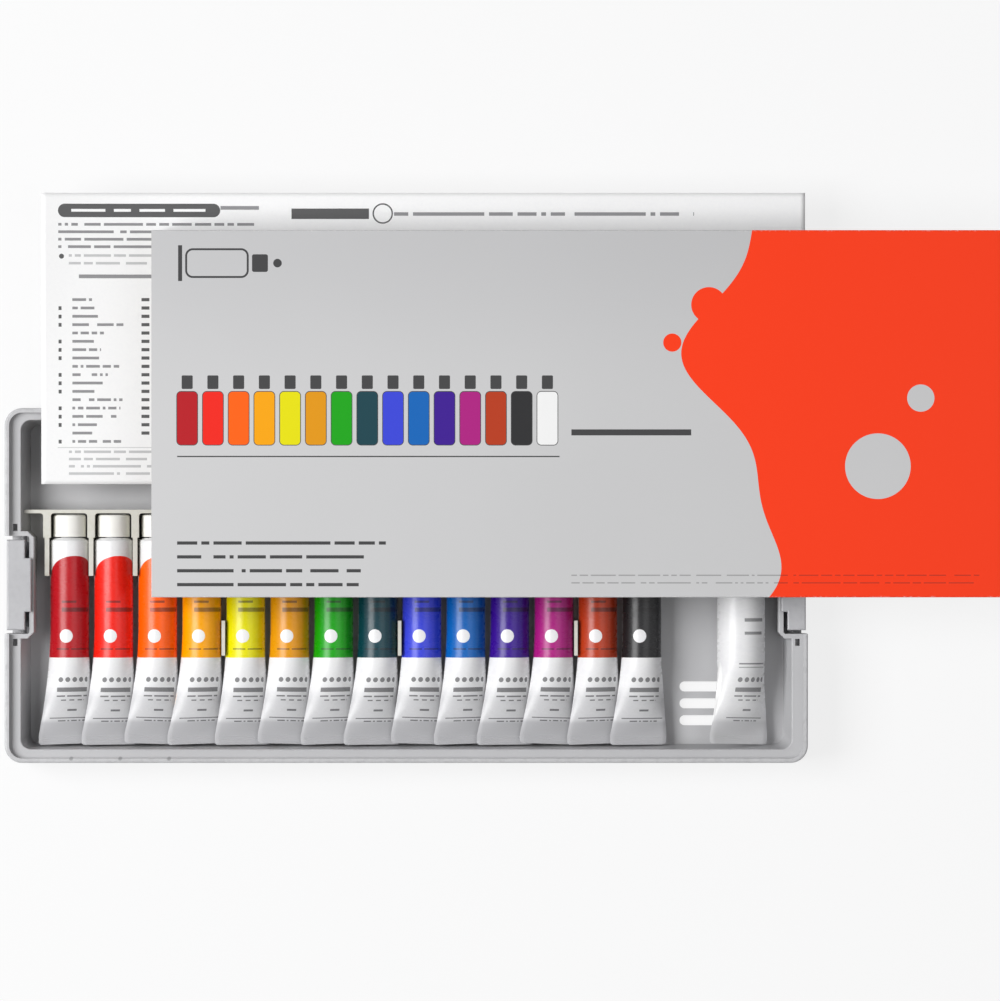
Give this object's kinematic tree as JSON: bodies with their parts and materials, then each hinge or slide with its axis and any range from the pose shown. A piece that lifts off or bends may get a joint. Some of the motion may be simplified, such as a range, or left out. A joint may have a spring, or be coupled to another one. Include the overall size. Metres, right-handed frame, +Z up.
{
  "type": "gouache paint set box",
  "caption": "Flat plastic box of gouache tubes lying in a ribbed rack, with end clasps, stored lid, card sleeve and leaflet.",
  "frame": {"origin": "centre of the tray's underside, on the surface that the tray rests on", "axes": "+X along the tray towards the white tube, +Y towards the caps and the rear compartment, +Z up"},
  "size_m": [0.3972, 0.228, 0.0493],
  "materials": {
    "grey_plastic": "fine satin moulded grey",
    "ivory_plastic": "satin ivory",
    "printed_card": "light grey printed card",
    "printed_paper": "white uncoated paper, black print",
    "tube_laminate": "white glossy laminate, printed",
    "cap_plastic": "satin white, fluted",
    "paint_carmine": "paste paint",
    "paint_scarlet": "paste paint",
    "paint_orange": "paste paint",
    "paint_deep_yellow": "paste paint",
    "paint_lemon_yellow": "paste paint",
    "paint_yellow_ochre": "paste paint",
    "paint_light_green": "paste paint",
    "paint_viridian": "paste paint",
    "paint_ultramarine": "paste paint",
    "paint_sky_blue": "paste paint",
    "paint_violet": "paste paint",
    "paint_magenta": "paste paint",
    "paint_burnt_sienna": "paste paint",
    "paint_black": "paste paint",
    "paint_white": "paste paint"
  },
  "bodies": {
    "base": {"tray": "grey_plastic", "tube_rack": "ivory_plastic", "tube_carmine": "tube_laminate", "tube_scarlet": "tube_laminate", "tube_orange": "tube_laminate", "tube_deep_yellow": "tube_laminate", "tube_lemon_yellow": "tube_laminate", "tube_yellow_ochre": "tube_laminate", "tube_light_green": "tube_laminate", "tube_viridian": "tube_laminate", "tube_ultramarine": "tube_laminate", "tube_sky_blue": "tube_laminate", "tube_violet": "tube_laminate", "tube_magenta": "tube_laminate", "tube_burnt_sienna": "tube_laminate", "tube_black": "tube_laminate", "tube_white": "tube_laminate", "paint_carmine": "paint_carmine", "paint_scarlet": "paint_scarlet", "paint_orange": "paint_orange", "paint_deep_yellow": "paint_deep_yellow", "paint_lemon_yellow": "paint_lemon_yellow", "paint_yellow_ochre": "paint_yellow_ochre", "paint_light_green": "paint_light_green", "paint_viridian": "paint_viridian", "paint_ultramarine": "paint_ultramarine", "paint_sky_blue": "paint_sky_blue", "paint_violet": "paint_violet", "paint_magenta": "paint_magenta", "paint_burnt_sienna": "paint_burnt_sienna", "paint_black": "paint_black", "paint_white": "paint_white"},
    "clasp_left": {"clasp_left": "grey_plastic"},
    "clasp_right": {"clasp_right": "grey_plastic"},
    "leaflet": {"leaflet": "printed_paper"},
    "sleeve": {"sleeve": "printed_card"},
    "lid": {"lid": "grey_plastic"},
    "cap_carmine": {"cap_carmine": "cap_plastic"},
    "cap_scarlet": {"cap_scarlet": "cap_plastic"},
    "cap_orange": {"cap_orange": "cap_plastic"},
    "cap_deep_yellow": {"cap_deep_yellow": "cap_plastic"},
    "cap_lemon_yellow": {"cap_lemon_yellow": "cap_plastic"},
    "cap_yellow_ochre": {"cap_yellow_ochre": "cap_plastic"},
    "cap_light_green": {"cap_light_green": "cap_plastic"},
    "cap_viridian": {"cap_viridian": "cap_plastic"},
    "cap_ultramarine": {"cap_ultramarine": "cap_plastic"},
    "cap_sky_blue": {"cap_sky_blue": "cap_plastic"},
    "cap_violet": {"cap_violet": "cap_plastic"},
    "cap_magenta": {"cap_magenta": "cap_plastic"},
    "cap_burnt_sienna": {"cap_burnt_sienna": "cap_plastic"},
    "cap_black": {"cap_black": "cap_plastic"},
    "cap_white": {"cap_white": "cap_plastic"}
  },
  "joints": [
    {"name": "clasp_left_turn", "type": "hinge", "parent": "base", "child": "clasp_left", "pos_m": [-0.1539, 0.0002, 0.008], "axis": [0, -1, 0], "range_deg": [0, 90]},
    {"name": "clasp_right_turn", "type": "hinge", "parent": "base", "child": "clasp_right", "pos_m": [0.1539, 0.0002, 0.008], "axis": [0, 1, 0], "range_deg": [0, 90]},
    {"name": "leaflet_pull", "type": "slide", "parent": "base", "child": "leaflet", "axis": [0, 1, 0], "range_m": [0, 0.12]},
    {"name": "sleeve_lift", "type": "slide", "parent": "base", "child": "sleeve", "axis": [0, 0, 1], "range_m": [0, 0.08]},
    {"name": "lid_draw", "type": "slide", "parent": "sleeve", "child": "lid", "axis": [1, 0, 0], "range_m": [0, 0.32]},
    {"name": "cap_carmine_turn", "type": "hinge", "parent": "base", "child": "cap_carmine", "pos_m": [-0.13536, 0.0283, 0.0096], "axis": [0, 1, 0], "range_deg": [0, 540]},
    {"name": "cap_scarlet_turn", "type": "hinge", "parent": "base", "child": "cap_scarlet", "pos_m": [-0.11768, 0.0283, 0.0096], "axis": [0, 1, 0], "range_deg": [0, 540]},
    {"name": "cap_orange_turn", "type": "hinge", "parent": "base", "child": "cap_orange", "pos_m": [-0.1, 0.0283, 0.0096], "axis": [0, 1, 0], "range_deg": [0, 540]},
    {"name": "cap_deep_yellow_turn", "type": "hinge", "parent": "base", "child": "cap_deep_yellow", "pos_m": [-0.08232, 0.0283, 0.0096], "axis": [0, 1, 0], "range_deg": [0, 540]},
    {"name": "cap_lemon_yellow_turn", "type": "hinge", "parent": "base", "child": "cap_lemon_yellow", "pos_m": [-0.06464, 0.0283, 0.0096], "axis": [0, 1, 0], "range_deg": [0, 540]},
    {"name": "cap_yellow_ochre_turn", "type": "hinge", "parent": "base", "child": "cap_yellow_ochre", "pos_m": [-0.04696, 0.0283, 0.0096], "axis": [0, 1, 0], "range_deg": [0, 540]},
    {"name": "cap_light_green_turn", "type": "hinge", "parent": "base", "child": "cap_light_green", "pos_m": [-0.02928, 0.0283, 0.0096], "axis": [0, 1, 0], "range_deg": [0, 540]},
    {"name": "cap_viridian_turn", "type": "hinge", "parent": "base", "child": "cap_viridian", "pos_m": [-0.0116, 0.0283, 0.0096], "axis": [0, 1, 0], "range_deg": [0, 540]},
    {"name": "cap_ultramarine_turn", "type": "hinge", "parent": "base", "child": "cap_ultramarine", "pos_m": [0.00608, 0.0283, 0.0096], "axis": [0, 1, 0], "range_deg": [0, 540]},
    {"name": "cap_sky_blue_turn", "type": "hinge", "parent": "base", "child": "cap_sky_blue", "pos_m": [0.02376, 0.0283, 0.0096], "axis": [0, 1, 0], "range_deg": [0, 540]},
    {"name": "cap_violet_turn", "type": "hinge", "parent": "base", "child": "cap_violet", "pos_m": [0.04144, 0.0283, 0.0096], "axis": [0, 1, 0], "range_deg": [0, 540]},
    {"name": "cap_magenta_turn", "type": "hinge", "parent": "base", "child": "cap_magenta", "pos_m": [0.05912, 0.0283, 0.0096], "axis": [0, 1, 0], "range_deg": [0, 540]},
    {"name": "cap_burnt_sienna_turn", "type": "hinge", "parent": "base", "child": "cap_burnt_sienna", "pos_m": [0.0768, 0.0283, 0.0096], "axis": [0, 1, 0], "range_deg": [0, 540]},
    {"name": "cap_black_turn", "type": "hinge", "parent": "base", "child": "cap_black", "pos_m": [0.09448, 0.0283, 0.0096], "axis": [0, 1, 0], "range_deg": [0, 540]},
    {"name": "cap_white_turn", "type": "hinge", "parent": "base", "child": "cap_white", "pos_m": [0.1343, 0.0283, 0.01145], "axis": [0, 1, 0], "range_deg": [0, 540]}
  ]
}
